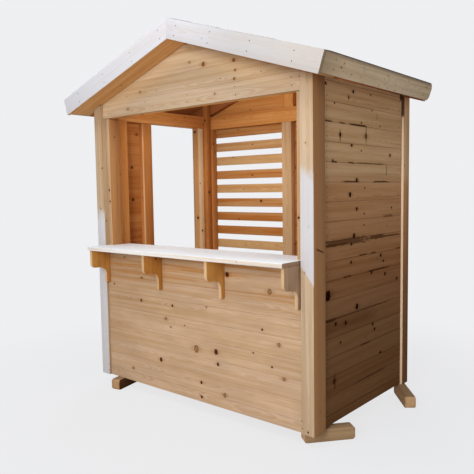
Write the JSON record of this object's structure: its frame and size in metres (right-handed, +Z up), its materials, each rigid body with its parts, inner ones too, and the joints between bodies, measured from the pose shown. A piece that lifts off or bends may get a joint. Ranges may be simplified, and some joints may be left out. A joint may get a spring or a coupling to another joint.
{
  "type": "wooden market hut",
  "caption": "Boarded timber market hut on slanted feet, with a serving hatch and bracketed counter, an open side doorway, a slatted back panel and a gable roof.",
  "frame": {"origin": "on the ground under the middle of the hut's box", "axes": "+X along the front to the right, +Y from the counter to the back, +Z up"},
  "size_m": [2.3576, 1.429, 2.6079],
  "materials": {
    "spruce": "planed softwood, oiled, with knots",
    "warm_spruce": "planed softwood, warmer and in the shade",
    "pale_spruce": "softwood with a thin pale wash",
    "roofing_felt": "matt bitumen felt with fine grit"
  },
  "bodies": {
    "root": {"front_left_foot": "spruce", "front_right_foot": "spruce", "rear_left_foot": "spruce", "rear_right_foot": "spruce", "front_left_post": "spruce", "front_right_post": "spruce", "rear_left_post": "spruce", "rear_right_post": "spruce", "front_sill": "warm_spruce", "front_left_stile": "spruce", "front_right_stile": "spruce", "front_counter_rail": "warm_spruce", "front_header": "warm_spruce", "front_boards": "spruce", "front_gable": "spruce", "counter": "pale_spruce", "far_left_bracket": "warm_spruce", "mid_left_bracket": "warm_spruce", "mid_right_bracket": "warm_spruce", "far_right_bracket": "warm_spruce", "right_sill": "warm_spruce", "right_front_stud": "warm_spruce", "right_rear_stud": "warm_spruce", "right_plate": "warm_spruce", "right_boards": "spruce", "left_sill": "warm_spruce", "left_front_stud": "warm_spruce", "door_front_jamb": "warm_spruce", "door_rear_jamb": "warm_spruce", "left_plate": "warm_spruce", "left_front_boards": "spruce", "left_rear_boards": "spruce", "left_head_boards": "spruce", "rear_sill": "warm_spruce", "rear_left_inner_post": "warm_spruce", "rear_left_stile": "warm_spruce", "rear_mid_stile": "warm_spruce", "rear_right_stile": "warm_spruce", "rear_top_rail": "warm_spruce", "king_post": "warm_spruce", "rear_slats": "warm_spruce", "rear_boards": "spruce", "rear_gable": "spruce", "ridge_beam": "warm_spruce", "front_left_rafter": "warm_spruce", "front_right_rafter": "warm_spruce", "rear_left_rafter": "warm_spruce", "rear_right_rafter": "warm_spruce", "left_soffit": "warm_spruce", "right_soffit": "warm_spruce", "left_roof": "spruce", "right_roof": "spruce", "roof_felt": "roofing_felt", "front_left_barge": "pale_spruce", "front_right_barge": "pale_spruce", "rear_left_barge": "pale_spruce", "rear_right_barge": "pale_spruce", "left_fascia": "warm_spruce", "right_fascia": "warm_spruce"}
  },
  "joints": []
}
